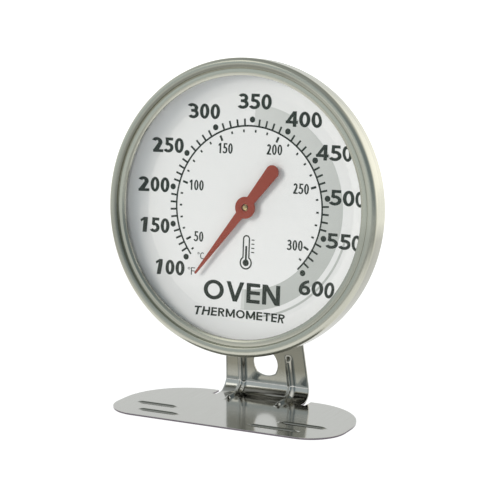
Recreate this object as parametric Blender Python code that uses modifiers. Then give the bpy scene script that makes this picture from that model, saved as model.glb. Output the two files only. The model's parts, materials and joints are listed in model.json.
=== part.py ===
"""Dial oven thermometer: a bimetal movement in a round drawn case, clamped under a rolled bezel
and riveted to a stand folded from one piece of stainless sheet.

The object stands on z = 0 and its dial looks towards -Y, leaning back a little. The origin is at
the middle of the footprint of the whole object. Sizes below are in millimetres and degrees.
"""
import math

import bmesh
import bpy
from mathutils import Matrix, Vector

MM = 0.001

# Stand
SHEET = 0.5
BASE_HALF_WIDTH = 35.4
BASE_FRONT = -17.72
BASE_BACK = 15.55
FRONT_CORNER = 10.3
REAR_CORNER = 19.1
NOTCH_DEPTH = 4.1
NOTCH_WIDTH = 1.3
BEND_RADIUS = 3.8
BEND_STEPS = 6
UPRIGHT_FOOT = 17.87
UPRIGHT_LEAN = 8.84
FOOT_HALF_WIDTH = 13.6
TAPER = 0.076
UPRIGHT_TOP = 15.0
TOP_CORNER = 4.0
KNEE_RADIUS = 8.0
RIB_PLACE = 0.59
RIB_SPREAD = 0.10
RIB_HEIGHT = 1.0
RIB_FRONT = 6.6
RIB_TOP = 12.9
RIB_RUNOUT = 1.6
HOLE_RADIUS = 3.79
HOLE_HEIGHT = 9.75
BEAD_HEIGHT = 0.8
BEAD_HALF_WIDTH = 1.0
BEAD_WALL = 0.35
# Pressed beads in the base: centre x, centre y and length
BEADS = (
    (-23.3, -6.1, 14.6),
    (22.9, -6.8, 15.4),
    (-19.2, -12.5, 14.6),
    (16.6, -12.7, 16.2),
)

# Dial head: its centre, and how far it leans back
DIAL_Y = 4.98
DIAL_Z = 57.2
LEAN_BACK = 4.62
GAP = 0.3

# Depths are measured towards the viewer from the face of the dial
RIM_RADIUS = 41.25
RIM_FRONT = 6.95
RIM_BACK = 0.2
BEZEL_SHEET = 0.45
LIP_RADIUS = 36.4
GROOVE_RADIUS = 38.5
LENS_RADIUS = 40.1
LENS_FRONT = 4.7
LENS_THICKNESS = 1.5
DIAL_FLAT_RADIUS = 32.3
DIAL_HOLE = 2.3
DIAL_SHEET = 0.4
SEAL_THICKNESS = 0.5
CASE_RADIUS = 36.9
CASE_BACK = -9.5
CASE_SHEET = 0.5
CASE_CORNER = 3.0
CASE_FLANGE = 0.95

# Movement
POINTER_FRONT = 1.85
POINTER_SHEET = 0.4
POINTER_REST = 232.3
TIP_REACH = 24.8
TAIL_REACH = 14.7
HUB_DISC = 3.05
TAIL_END_RADIUS = 2.0
STAFF_RADIUS = 0.6
BUSH_BORE = 0.66
COLLET_RADIUS = 1.8
COIL_TURNS = 5
COIL_START = 10.0
COIL_OUTER = 10.4
COIL_STRIP = 0.4
COIL_NEAR = -3.0
COIL_FAR = -7.0
COIL_RIVET_RADIUS = 0.5
ANCHOR_SHEET = 0.6
BRIDGE_HALF_SPAN = 15.0
BRIDGE_FOOT = 20.0
BRIDGE_WIDTH = 9.0
BRIDGE_SHEET = 0.8
BRIDGE_FRONT = -1.7
BRIDGE_RIVET_X = 17.6
STAND_RIVET_HEIGHTS = {"lower": -12.0, "upper": 10.0}
STAND_RIVET_RADIUS = 1.5
RIVET_HOLE = 1.8

ROUND_STEPS = 60
SMALL_STEPS = 24


# ---------------------------------------------------------------- scene, materials and helpers

def clear_scene():
    for old in list(bpy.data.objects):
        bpy.data.objects.remove(old, do_unlink=True)


def new_collection(name):
    group = bpy.data.collections.new(name)
    bpy.context.scene.collection.children.link(group)
    return group


def finish(name, color, roughness, metallic, alpha=1.0):
    material = bpy.data.materials.new(name)
    material.use_nodes = True
    shader = material.node_tree.nodes["Principled BSDF"]
    shader.inputs["Base Color"].default_value = (*color, 1.0)
    shader.inputs["Roughness"].default_value = roughness
    shader.inputs["Metallic"].default_value = metallic
    shader.inputs["Alpha"].default_value = alpha
    return material


def add_object(name, mesh, material, group, parent=None):
    piece = bpy.data.objects.new(name, mesh)
    group.objects.link(piece)
    piece.parent = parent
    if material is not None:
        mesh.materials.append(material)
    mesh.shade_smooth()
    mesh.set_sharp_from_angle(angle=math.radians(35))
    return piece


def mesh_of(bm):
    bm.normal_update()
    mesh = bpy.data.meshes.new("mesh")
    bm.to_mesh(mesh)
    bm.free()
    return mesh


def path_mesh(points, closed):
    """A chain of edges through points given in millimetres."""
    bm = bmesh.new()
    verts = [bm.verts.new(Vector(point) * MM) for point in points]
    for first, second in zip(verts, verts[1:]):
        bm.edges.new((first, second))
    if closed:
        bm.edges.new((verts[-1], verts[0]))
    return bm


def solidify(piece, thickness, offset):
    shell = piece.modifiers.new("thickness", "SOLIDIFY")
    shell.thickness = thickness * MM
    shell.offset = offset
    shell.use_even_offset = True


def turned(name, profile, material, group, parent, closed=False, steps=ROUND_STEPS, shell=0.0):
    """Turn a profile of (radius, height) about Z. The outer side of the profile runs downwards."""
    points = [(radius, 0.0, height) for radius, height in profile]
    piece = add_object(name, mesh_of(path_mesh(points, closed)), material, group, parent)
    screw = piece.modifiers.new("turn", "SCREW")
    screw.axis = "Z"
    screw.steps = steps
    screw.render_steps = steps
    screw.use_merge_vertices = True
    screw.merge_threshold = 0.00001
    if shell:
        solidify(piece, shell, -1.0)
    return piece


def strip(name, points, width, thickness, material, group, parent):
    """A band of sheet: a path in the XZ plane, drawn out along Y and given its thickness."""
    bm = path_mesh([(x, -width / 2, z) for x, z in points], False)
    drawn = bmesh.ops.extrude_edge_only(bm, edges=bm.edges[:])
    moved = [item for item in drawn["geom"] if isinstance(item, bmesh.types.BMVert)]
    bmesh.ops.translate(bm, verts=moved, vec=(0.0, width * MM, 0.0))
    piece = add_object(name, mesh_of(bm), material, group, parent)
    solidify(piece, thickness, 0.0)
    return piece


def rod(name, radius, low, high, group, parent=None, place=(0.0, 0.0), steps=SMALL_STEPS):
    """A closed cylinder from height low to height high, used as a cutter."""
    bm = bmesh.new()
    bmesh.ops.create_cone(
        bm, cap_ends=True, segments=steps, radius1=radius * MM, radius2=radius * MM,
        depth=(high - low) * MM)
    piece = add_object(name, mesh_of(bm), None, group, parent)
    piece.location = (place[0] * MM, place[1] * MM, (high + low) / 2 * MM)
    return piece


def hide_cutter(cutter):
    cutter.hide_render = True
    cutter.display_type = "WIRE"


def boolean(piece, cutter, operation):
    hide_cutter(cutter)
    step = piece.modifiers.new(operation.lower(), "BOOLEAN")
    step.operation = operation
    step.object = cutter


def arc(center, radius, start, end, count):
    """Points on an arc, from angle start to angle end in degrees, both ends included."""
    points = []
    for index in range(count + 1):
        angle = math.radians(start + (end - start) * index / count)
        points.append((center[0] + radius * math.cos(angle), center[1] + radius * math.sin(angle)))
    return points


def smooth_step(value):
    value = min(max(value, 0.0), 1.0)
    return value * value * (3.0 - 2.0 * value)


# ---------------------------------------------------------------- the folded stand

def side_path():
    """The stand seen from the side, as (y, z) points of the sheet's inner surface.

    It goes round the bend behind the base, up the leaning upright, and over the knee where the
    sheet turns to lie flat against the back of the case. Those three stretches are returned, with
    the distance from the bend's sharp corner to its start.
    """
    lean = math.radians(UPRIGHT_LEAN)
    tilt = math.radians(LEAN_BACK)
    turn = 90.0 + UPRIGHT_LEAN
    setback = BEND_RADIUS * math.tan(math.radians(turn / 2))
    corner = Vector((UPRIGHT_FOOT, SHEET))
    rise = Vector((-math.sin(lean), math.cos(lean)))
    back = Vector((math.cos(tilt), -math.sin(tilt)))
    up = Vector((math.sin(tilt), math.cos(tilt)))
    head = Vector((DIAL_Y, DIAL_Z))
    case_gap = -CASE_BACK + GAP
    reach = (case_gap - (corner - head).dot(back)) / rise.dot(back)
    knee_turn = UPRIGHT_LEAN + LEAN_BACK
    knee = KNEE_RADIUS * math.tan(math.radians(knee_turn / 2))
    bend_center = (UPRIGHT_FOOT - setback, SHEET + BEND_RADIUS)
    bend = arc(bend_center, BEND_RADIUS, -90.0, turn - 90.0, BEND_STEPS)
    upright = []
    for height in upright_rows(setback, reach - knee):
        upright.append(tuple(corner + rise * height))
    knee_point = corner + rise * reach
    flat_start = (knee_point - head).dot(up) + knee
    flat = []
    for height in (flat_start, *flat_rows(flat_start)):
        flat.append(tuple(head + back * case_gap + up * height))
    return bend, upright, flat, setback


def upright_rows(low, high):
    """Distances up the straight upright at which the sheet has a row of points."""
    ends = [RIB_TOP - RIB_RUNOUT * part for part in (1.0, 0.5, 0.0)]
    return [low + 2.5, *ends, (RIB_TOP + high) / 2, high]


def flat_rows(low):
    """Heights, from the dial's centre, of the rows on the part that lies against the case."""
    rows = [-12.0, 0.0]
    for index in range(4):
        angle = math.radians(90.0 * index / 3)
        rows.append(UPRIGHT_TOP - TOP_CORNER + TOP_CORNER * math.sin(angle))
    return [row for row in rows if row > low + 1.0]


def base_half_width(y):
    """Half the width of the base at y, with its four rounded corners."""
    front = y - (BASE_FRONT + FRONT_CORNER)
    rear = y - (BASE_BACK - REAR_CORNER)
    if front < 0.0:
        return BASE_HALF_WIDTH - FRONT_CORNER + math.sqrt(max(FRONT_CORNER ** 2 - front ** 2, 0.0))
    if rear > 0.0:
        return BASE_HALF_WIDTH - REAR_CORNER + math.sqrt(max(REAR_CORNER ** 2 - rear ** 2, 0.0))
    return BASE_HALF_WIDTH


def base_rows():
    """Places y of the rows that cross the whole base, from its front edge to the bend notches."""
    rows = [y for _, y in arc((0.0, BASE_FRONT + FRONT_CORNER), FRONT_CORNER, -90.0, 0.0, 6)]
    notch = BASE_BACK - NOTCH_DEPTH
    rear = [y for _, y in arc((0.0, BASE_BACK - REAR_CORNER), REAR_CORNER, 0.0, 40.0, 3)]
    ribs = [RIB_FRONT + RIB_RUNOUT * part for part in (0.0, 0.5, 1.0)]
    return sorted(rows + [y for y in rear if y < RIB_FRONT - 0.5] + ribs + [notch])


def wing_rows(count):
    """Places y of the rows beside the bend, where the wings of the base end."""
    notch = BASE_BACK - NOTCH_DEPTH
    low = math.degrees(math.asin((notch - BASE_BACK + REAR_CORNER) / REAR_CORNER))
    return [y for _, y in arc((0.0, BASE_BACK - REAR_CORNER), REAR_CORNER, low, 90.0, count)][1:]


def tongue_half_width(height):
    """Half the width of the folded-up tongue at a height along it above the bend's corner."""
    return FOOT_HALF_WIDTH - TAPER * max(height, 0.0)


def rib_columns():
    """Places of the columns across the tongue, as parts of its half width."""
    half = [0.0, 0.25]
    for part in (-1.0, -0.5, 0.0, 0.5, 1.0):
        half.append(RIB_PLACE + RIB_SPREAD * part)
    half += [0.84, 1.0]
    return [-part for part in reversed(half[1:])] + half


def rib_profile(part):
    """Height of the two ribs across the tongue, from 0 to 1."""
    away = abs(abs(part) - RIB_PLACE) / RIB_SPREAD
    return 0.5 + 0.5 * math.cos(math.pi * min(away, 1.0))


def stand_rows():
    """Every row of the sheet: side place (y, z), normal, tongue half width, rib height, wing y."""
    bend, upright, flat, setback = side_path()
    places = [(y, SHEET) for y in base_rows()]
    whole = len(places)
    places += bend + upright + flat
    wings = wing_rows(BEND_STEPS)
    lengths = [0.0]
    for first, second in zip(places, places[1:]):
        lengths.append(lengths[-1] + math.dist(first, second))
    bend_end = lengths[whole + BEND_STEPS]
    corner_length = bend_end - setback
    rows = []
    for index, (y, z) in enumerate(places):
        before = Vector(places[max(index - 1, 0)])
        after = Vector(places[min(index + 1, len(places) - 1)])
        along = (after - before).normalized()
        normal = (-along.y, along.x)
        height = lengths[index] - corner_length
        half = tongue_half_width(height)
        top = lengths[-1] - lengths[index]
        if top < TOP_CORNER:
            half -= TOP_CORNER - math.sqrt(TOP_CORNER ** 2 - (TOP_CORNER - top) ** 2)
        front_ramp = smooth_step((lengths[index] - rib_start(places, lengths)) / RIB_RUNOUT)
        top_ramp = smooth_step((RIB_TOP - height) / RIB_RUNOUT)
        wing = y
        if index >= whole:
            step = index - whole
            wing = wings[step] if step < len(wings) else None
        rows.append(((y, z), normal, half, front_ramp * top_ramp, wing))
    return rows, whole


def rib_start(places, lengths):
    """Length along the sheet at which the ribs begin on the base."""
    for (y, _), length in zip(places, lengths):
        if y >= RIB_FRONT - 0.001:
            return length
    return 0.0


def sheet_grid(rows, whole):
    """The bent sheet as a grid of faces, without its thickness."""
    inner = rib_columns()
    wings = (0.0, 0.5, 1.0)
    columns = len(inner) + 2 * len(wings)
    bm = bmesh.new()
    bmesh.ops.create_grid(bm, x_segments=columns - 1, y_segments=len(rows) - 1, size=1.0)
    edge = FOOT_HALF_WIDTH + NOTCH_WIDTH
    where = {}
    for vert in bm.verts:
        column = round((vert.co.x + 1.0) / 2.0 * (columns - 1))
        row = round((vert.co.y + 1.0) / 2.0 * (len(rows) - 1))
        (y, z), normal, half, rib, wing = rows[row]
        side = min(column, columns - 1 - column)
        sign = -1.0 if column < columns / 2 else 1.0
        if side < len(wings):
            wing = BASE_BACK if wing is None else wing
            part = wings[len(wings) - 1 - side]
            x = edge + part * (base_half_width(wing) - edge)
            vert.co = Vector((sign * x, wing, SHEET)) * MM
        else:
            part = inner[column - len(wings)]
            lift = RIB_HEIGHT * rib * rib_profile(part)
            vert.co = Vector((part * half, y + normal[0] * lift, z + normal[1] * lift)) * MM
        where[vert] = (row, side)
    empty = []
    for face in bm.faces:
        low_row = min(where[vert][0] for vert in face.verts)
        low_side = min(where[vert][1] for vert in face.verts)
        beside_bend = low_side == len(wings) - 1 and low_row >= whole - 1
        past_wing = low_side < len(wings) - 1 and low_row >= whole - 1 + BEND_STEPS
        if beside_bend or past_wing:
            empty.append(face)
    bmesh.ops.delete(bm, geom=empty, context="FACES")
    loose = [vert for vert in bm.verts if not vert.link_faces]
    bmesh.ops.delete(bm, geom=loose, context="VERTS")
    return bm


def bead_mesh(length, half_width, height, depth):
    """A long rounded bead: a sphere drawn out along X and cut flat at a depth below its middle."""
    bm = bmesh.new()
    bmesh.ops.create_uvsphere(bm, u_segments=16, v_segments=8, radius=1.0)
    bmesh.ops.rotate(bm, verts=bm.verts[:], matrix=Matrix.Rotation(math.radians(90.0), 3, "Y"))
    straight = length / 2 - half_width
    for vert in bm.verts:
        shift = straight if vert.co.x > 0.01 else -straight if vert.co.x < -0.01 else 0.0
        x = vert.co.x * half_width + shift
        vert.co = Vector((x, vert.co.y * half_width, max(vert.co.z * height, -depth))) * MM
    return mesh_of(bm)


def make_stand(materials, parts, cutters, head):
    rows, whole = stand_rows()
    stand = add_object("stand", mesh_of(sheet_grid(rows, whole)), materials["stand"], parts)
    solidify(stand, SHEET, -1.0)
    for index, (x, y, length) in enumerate(BEADS):
        raised = add_object(
            f"bead_{index}", bead_mesh(length, BEAD_HALF_WIDTH, BEAD_HEIGHT, SHEET / 2), None,
            cutters)
        raised.location = (x * MM, y * MM, (SHEET - 0.02) * MM)
        boolean(stand, raised, "UNION")
        hollow = add_object(
            f"bead_hollow_{index}",
            bead_mesh(length - 2 * BEAD_WALL, BEAD_HALF_WIDTH - BEAD_WALL, BEAD_HEIGHT + 0.1, SHEET),
            None, cutters)
        hollow.location = (x * MM, y * MM, -0.07 * MM)
        boolean(stand, hollow, "DIFFERENCE")
    boolean(stand, upright_hole(cutters), "DIFFERENCE")
    for place, height in STAND_RIVET_HEIGHTS.items():
        hole = rod(f"stand_hole_{place}", RIVET_HOLE, CASE_BACK - 3.0, CASE_BACK + 0.15, cutters,
                   head, (0.0, height))
        boolean(stand, hole, "DIFFERENCE")
    return stand


def upright_hole(cutters):
    """Cutter for the round hole in the upright, square to its leaning sheet."""
    lean = math.radians(UPRIGHT_LEAN)
    hole = rod("upright_hole", HOLE_RADIUS, -2.0, 2.0, cutters, steps=32)
    y = UPRIGHT_FOOT - HOLE_HEIGHT * math.sin(lean)
    z = SHEET + HOLE_HEIGHT * math.cos(lean)
    hole.location = (0.0, y * MM, z * MM)
    hole.rotation_euler = (math.radians(90.0) + lean, 0.0, 0.0)
    return hole


# ---------------------------------------------------------------- case, bezel, lens and dial

def bezel_profile():
    """Outer surface of the bezel: lip, groove, rolled rim, straight wall and crimped back edge."""
    lip = [(LIP_RADIUS, RIM_FRONT - 1.6), (LIP_RADIUS + 0.5, RIM_FRONT - 1.3)]
    lip += [(LIP_RADIUS + 1.1, RIM_FRONT - 1.05), (GROOVE_RADIUS - 0.45, RIM_FRONT - 1.05)]
    groove = [(GROOVE_RADIUS, RIM_FRONT - 1.3), (GROOVE_RADIUS + 0.3, RIM_FRONT - 0.75)]
    roll_center = (RIM_RADIUS - 1.5, RIM_FRONT - 1.5)
    roll = arc(roll_center, 1.5, 120.0, 0.0, 5)
    foot_center = (RIM_RADIUS - 0.7, RIM_BACK + 0.7)
    foot = arc(foot_center, 0.7, 0.0, -90.0, 2)
    return lip + groove + roll + foot + [(CASE_RADIUS + 0.8, RIM_BACK)]


def make_bezel(materials, parts, head):
    return turned("bezel_ring", bezel_profile(), materials["bezel"], parts, head,
                  shell=BEZEL_SHEET)


def case_profile():
    """Outer surface of the drawn case, from its flange round to the middle of its back."""
    flange = [(LENS_RADIUS, CASE_FLANGE), (CASE_RADIUS + 0.35, CASE_FLANGE)]
    wall = [(CASE_RADIUS, CASE_FLANGE - 0.35)]
    corner_center = (CASE_RADIUS - CASE_CORNER, CASE_BACK + CASE_CORNER)
    corner = arc(corner_center, CASE_CORNER, 0.0, -90.0, 4)
    return flange + wall + corner + [(12.0, CASE_BACK), (0.0, CASE_BACK)]


def make_case(materials, parts, cutters, head):
    case = turned("case_cup", case_profile(), materials["case"], parts, head, shell=CASE_SHEET)
    for place, height in STAND_RIVET_HEIGHTS.items():
        hole = rod(f"case_hole_{place}", RIVET_HOLE, CASE_BACK - 0.15, CASE_BACK + 2.0, cutters,
                   head, (0.0, height))
        boolean(case, hole, "DIFFERENCE")
    for side, sign in (("left", -1.0), ("right", 1.0)):
        hole = rod(f"case_hole_{side}", 1.3, CASE_BACK - 2.0, CASE_BACK + 2.0, cutters,
                   head, (sign * BRIDGE_RIVET_X, 0.0))
        boolean(case, hole, "DIFFERENCE")
    return case


def make_lens(materials, parts, head):
    back = LENS_FRONT - LENS_THICKNESS
    chamfer = 0.25
    profile = [
        (0.0, LENS_FRONT), (LENS_RADIUS - chamfer, LENS_FRONT),
        (LENS_RADIUS, LENS_FRONT - chamfer), (LENS_RADIUS, back + chamfer),
        (LENS_RADIUS - chamfer, back), (0.0, back)]
    return turned("lens", profile, materials["lens"], parts, head)


def make_dial(materials, parts, head):
    lip = LENS_FRONT - LENS_THICKNESS - GAP
    profile = [
        (DIAL_HOLE, 0.0), (DIAL_FLAT_RADIUS, 0.0), (DIAL_FLAT_RADIUS + 0.5, 0.12),
        (LENS_RADIUS - 2.8, lip - 0.25), (LENS_RADIUS - 2.2, lip), (LENS_RADIUS, lip)]
    return turned("dial_plate", profile, materials["dial"], parts, head, shell=DIAL_SHEET)


def make_seal(materials, parts, head):
    top = LENS_FRONT - LENS_THICKNESS - GAP - DIAL_SHEET - GAP
    low = top - SEAL_THICKNESS
    inner = LENS_RADIUS - 1.8
    profile = [(inner, top), (LENS_RADIUS, top), (LENS_RADIUS, low), (inner, low)]
    return turned("case_seal", profile, materials["seal"], parts, head, closed=True)


# ---------------------------------------------------------------- rivets

def rivet_profile(shank, near_radius, near, near_height, far_radius, far, far_height):
    """A rivet about Z: a flat head whose underside is at near, and a domed head below far."""
    dome = arc((0.0, far), 1.0, 0.0, -90.0, 3)
    lower = [(x * far_radius, far + (z - far) * far_height) for x, z in dome]
    return [
        (0.0, near + near_height), (near_radius - 0.2, near + near_height),
        (near_radius, near + near_height - 0.2), (near_radius, near),
        (shank, near), (shank, far), *lower]


def make_stand_rivets(materials, parts, head):
    inside = CASE_BACK + CASE_SHEET + GAP
    outside = CASE_BACK - GAP - SHEET - GAP
    for place, height in STAND_RIVET_HEIGHTS.items():
        profile = rivet_profile(STAND_RIVET_RADIUS, 2.8, inside, 0.6, 2.6, outside, 0.9)
        rivet = turned(f"stand_rivet_{place}", profile, materials["rivet"], parts, head,
                       steps=SMALL_STEPS)
        rivet.location = (0.0, height * MM, 0.0)


def make_bridge_rivets(materials, parts, head):
    inside = CASE_BACK + CASE_SHEET + GAP + BRIDGE_SHEET + GAP
    outside = CASE_BACK - GAP
    for side, sign in (("left", -1.0), ("right", 1.0)):
        profile = rivet_profile(1.0, 1.8, inside, 0.6, 1.8, outside, 0.7)
        rivet = turned(f"bridge_rivet_{side}", profile, materials["rivet"], parts, head,
                       steps=SMALL_STEPS)
        rivet.location = (sign * BRIDGE_RIVET_X * MM, 0.0, 0.0)


# ---------------------------------------------------------------- movement

def make_bridge(materials, parts, cutters, head):
    """The strap across the case that carries the front bush."""
    half = BRIDGE_SHEET / 2
    top = BRIDGE_FRONT - half
    low = CASE_BACK + CASE_SHEET + GAP + half
    leg = BRIDGE_HALF_SPAN
    points = [
        (-BRIDGE_FOOT, low), (-leg - 0.6, low), (-leg, low + 0.6), (-leg, top - 1.0),
        (-leg + 1.0, top), (leg - 1.0, top), (leg, top - 1.0), (leg, low + 0.6),
        (leg + 0.6, low), (BRIDGE_FOOT, low)]
    bridge = strip("bridge", points, BRIDGE_WIDTH, BRIDGE_SHEET, materials["bridge"], parts, head)
    boolean(bridge, rod("bridge_bore", 1.7, -4.0, 0.0, cutters, head), "DIFFERENCE")
    for side, sign in (("left", -1.0), ("right", 1.0)):
        hole = rod(f"bridge_foot_hole_{side}", 1.3, low - 1.0, low + 1.0, cutters, head,
                   (sign * BRIDGE_RIVET_X, 0.0))
        boolean(bridge, hole, "DIFFERENCE")
    return bridge


def make_front_bush(materials, parts, head):
    profile = [
        (BUSH_BORE, -0.9), (2.6, -0.9), (2.6, BRIDGE_FRONT + GAP), (1.4, BRIDGE_FRONT + GAP),
        (1.4, -2.8), (BUSH_BORE, -2.8)]
    return turned("front_bush", profile, materials["brass"], parts, head, closed=True,
                  steps=SMALL_STEPS)


def make_rear_bush(materials, parts, head):
    floor = CASE_BACK + CASE_SHEET + GAP
    profile = [
        (BUSH_BORE, -7.3), (1.6, -7.3), (2.0, -7.6), (2.0, floor), (BUSH_BORE, floor)]
    return turned("rear_bush", profile, materials["brass"], parts, head, closed=True,
                  steps=SMALL_STEPS)


def make_anchor(materials, parts, cutters, head):
    """Plate round the rear bush whose upturned end holds the outer end of the coil."""
    level = CASE_BACK + CASE_SHEET + GAP + ANCHOR_SHEET / 2
    reach = COIL_OUTER + COIL_STRIP / 2 + GAP + ANCHOR_SHEET / 2
    points = [(-4.5, level), (reach - 0.5, level), (reach, level + 0.5), (reach, COIL_NEAR)]
    anchor = strip("coil_anchor", points, 6.0, ANCHOR_SHEET, materials["anchor"], parts, head)
    bore = rod("anchor_bore", 2.3, level - 1.0, level + 1.0, cutters, head)
    boolean(anchor, bore, "DIFFERENCE")
    boolean(anchor, coil_rivet_hole("anchor_rivet_hole", cutters, head), "DIFFERENCE")
    return anchor


def coil_rivet_hole(name, cutters, head):
    """Cutter along X through the outer turn of the coil and the anchor's upturned end."""
    hole = rod(name, COIL_RIVET_RADIUS + GAP, -1.4, 1.4, cutters, head, steps=12)
    middle = (COIL_NEAR + COIL_FAR) / 2
    hole.location = ((COIL_OUTER + 0.6) * MM, 0.0, middle * MM)
    hole.rotation_euler = (0.0, math.radians(90.0), 0.0)
    return hole


def make_coil_rivet(materials, parts, head):
    """The rivet that fixes the outer end of the coil to the anchor, its axis along X."""
    outside = COIL_OUTER + COIL_STRIP / 2 + GAP + ANCHOR_SHEET + GAP
    inside = COIL_OUTER - COIL_STRIP / 2 - GAP - 0.1
    profile = rivet_profile(COIL_RIVET_RADIUS, 1.1, outside, 0.4, 1.1, inside, 0.4)
    rivet = turned("coil_rivet", profile, materials["rivet"], parts, head, steps=16)
    rivet.location = (0.0, 0.0, (COIL_NEAR + COIL_FAR) / 2 * MM)
    rivet.rotation_euler = (0.0, math.radians(90.0), 0.0)


def make_coil(materials, parts, cutters, head):
    """Flat spiral of bimetal strip, from just outside the collet to the anchor."""
    inner = COLLET_RADIUS + GAP + COIL_STRIP / 2
    count = COIL_TURNS * 20
    points = []
    for index in range(count + 1):
        part = index / count
        radius = inner + (COIL_OUTER - inner) * part
        angle = math.radians(COIL_START + 360.0 * COIL_TURNS * part)
        points.append((radius * math.cos(angle), radius * math.sin(angle), COIL_FAR))
    bm = path_mesh(points, False)
    drawn = bmesh.ops.extrude_edge_only(bm, edges=bm.edges[:])
    moved = [item for item in drawn["geom"] if isinstance(item, bmesh.types.BMVert)]
    bmesh.ops.translate(bm, verts=moved, vec=(0.0, 0.0, (COIL_NEAR - COIL_FAR) * MM))
    coil = add_object("bimetal_coil", mesh_of(bm), materials["coil"], parts, head)
    solidify(coil, COIL_STRIP, 0.0)
    boolean(coil, coil_rivet_hole("coil_rivet_hole", cutters, head), "DIFFERENCE")
    return coil


def make_staff(materials, parts, axis):
    profile = [
        (0.0, 0.6), (STAFF_RADIUS - 0.1, 0.6), (STAFF_RADIUS, 0.5), (STAFF_RADIUS, -8.3),
        (STAFF_RADIUS - 0.1, -8.4), (0.0, -8.4)]
    return turned("staff", profile, materials["staff"], parts, axis, steps=SMALL_STEPS)


def make_collet(materials, parts, axis):
    bore = STAFF_RADIUS + GAP
    profile = [
        (bore, COIL_NEAR), (COLLET_RADIUS, COIL_NEAR), (COLLET_RADIUS, COIL_FAR),
        (bore, COIL_FAR)]
    return turned("coil_collet", profile, materials["brass"], parts, axis, closed=True,
                  steps=SMALL_STEPS)


def make_pointer_hub(materials, parts, axis):
    """Brass boss through the pointer, with a blind bore for the end of the staff."""
    bore = STAFF_RADIUS + GAP
    under = POINTER_FRONT - POINTER_SHEET - GAP
    profile = [
        (0.0, POINTER_FRONT + 0.3), (0.6, POINTER_FRONT + 0.3), (0.75, POINTER_FRONT + 0.15),
        (0.75, under), (2.0, under), (2.0, under - 0.4), (1.6, under - 0.4),
        (1.6, -0.6), (bore, -0.6), (bore, under - 0.25), (0.0, under - 0.25)]
    return turned("pointer_hub", profile, materials["brass"], parts, axis, steps=SMALL_STEPS)


def pointer_outline():
    """Outline of the pointer along +X: fine tip, hub disc and a widening tail with a round end."""
    tip = arc((TIP_REACH - 0.4, 0.0), 0.4, -90.0, 90.0, 4)
    disc_gap = 24.0
    upper_disc = arc((0.0, 0.0), HUB_DISC, disc_gap, 180.0 - disc_gap - 3.0, 10)
    tail = arc((-TAIL_REACH + TAIL_END_RADIUS, 0.0), TAIL_END_RADIUS, 96.0, 264.0, 10)
    lower_disc = arc((0.0, 0.0), HUB_DISC, 180.0 + disc_gap + 3.0, 360.0 - disc_gap, 10)
    return tip + upper_disc + tail + lower_disc


def add_loop(curve, points):
    spline = curve.splines.new("POLY")
    spline.points.add(len(points) - 1)
    for point, (x, y) in zip(spline.points, points):
        point.co = (x * MM, y * MM, 0.0, 1.0)
    spline.use_cyclic_u = True


def make_pointer(materials, parts, axis):
    curve = bpy.data.curves.new("pointer_outline", "CURVE")
    curve.dimensions = "2D"
    curve.fill_mode = "BOTH"
    curve.extrude = POINTER_SHEET / 2 * MM
    add_loop(curve, pointer_outline())
    add_loop(curve, arc((0.0, 0.0), 0.75 + GAP, 0.0, 345.0, 23))
    drawing = bpy.data.objects.new("pointer_outline", curve)
    bpy.context.scene.collection.objects.link(drawing)
    bpy.context.view_layer.update()
    evaluated = drawing.evaluated_get(bpy.context.evaluated_depsgraph_get())
    mesh = bpy.data.meshes.new_from_object(evaluated)
    bm = bmesh.new()
    bm.from_mesh(mesh)
    bmesh.ops.remove_doubles(bm, verts=bm.verts[:], dist=0.000001)
    bpy.data.objects.remove(drawing, do_unlink=True)
    pointer = add_object("pointer", mesh_of(bm), materials["pointer"], parts, axis)
    pointer.location = (0.0, 0.0, (POINTER_FRONT - POINTER_SHEET / 2) * MM)
    return pointer


# ---------------------------------------------------------------- the whole thermometer

def add_empty(name, group, parent=None):
    empty = bpy.data.objects.new(name, None)
    group.objects.link(empty)
    empty.parent = parent
    return empty


def make_materials():
    steel = (0.62, 0.61, 0.58)
    return {
        "stand": finish("stand_steel", (0.56, 0.56, 0.54), 0.16, 1.0),
        "bezel": finish("bezel_steel", steel, 0.25, 1.0),
        "case": finish("case_steel", steel, 0.32, 1.0),
        "lens": finish("lens_glass", (0.95, 0.97, 0.97), 0.03, 0.0, 0.15),
        "dial": finish("dial_enamel", (0.86, 0.86, 0.85), 0.45, 0.0),
        "seal": finish("seal_fibre", (0.32, 0.30, 0.27), 0.9, 0.0),
        "rivet": finish("rivet_steel", (0.60, 0.60, 0.58), 0.35, 1.0),
        "bridge": finish("bridge_steel", (0.55, 0.55, 0.53), 0.4, 1.0),
        "anchor": finish("anchor_steel", (0.50, 0.50, 0.48), 0.4, 1.0),
        "brass": finish("brass", (0.78, 0.62, 0.32), 0.3, 1.0),
        "coil": finish("bimetal", (0.58, 0.54, 0.50), 0.35, 1.0),
        "staff": finish("staff_steel", (0.58, 0.58, 0.57), 0.25, 1.0),
        "pointer": finish("pointer_paint", (0.42, 0.10, 0.07), 0.5, 0.0),
    }


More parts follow.
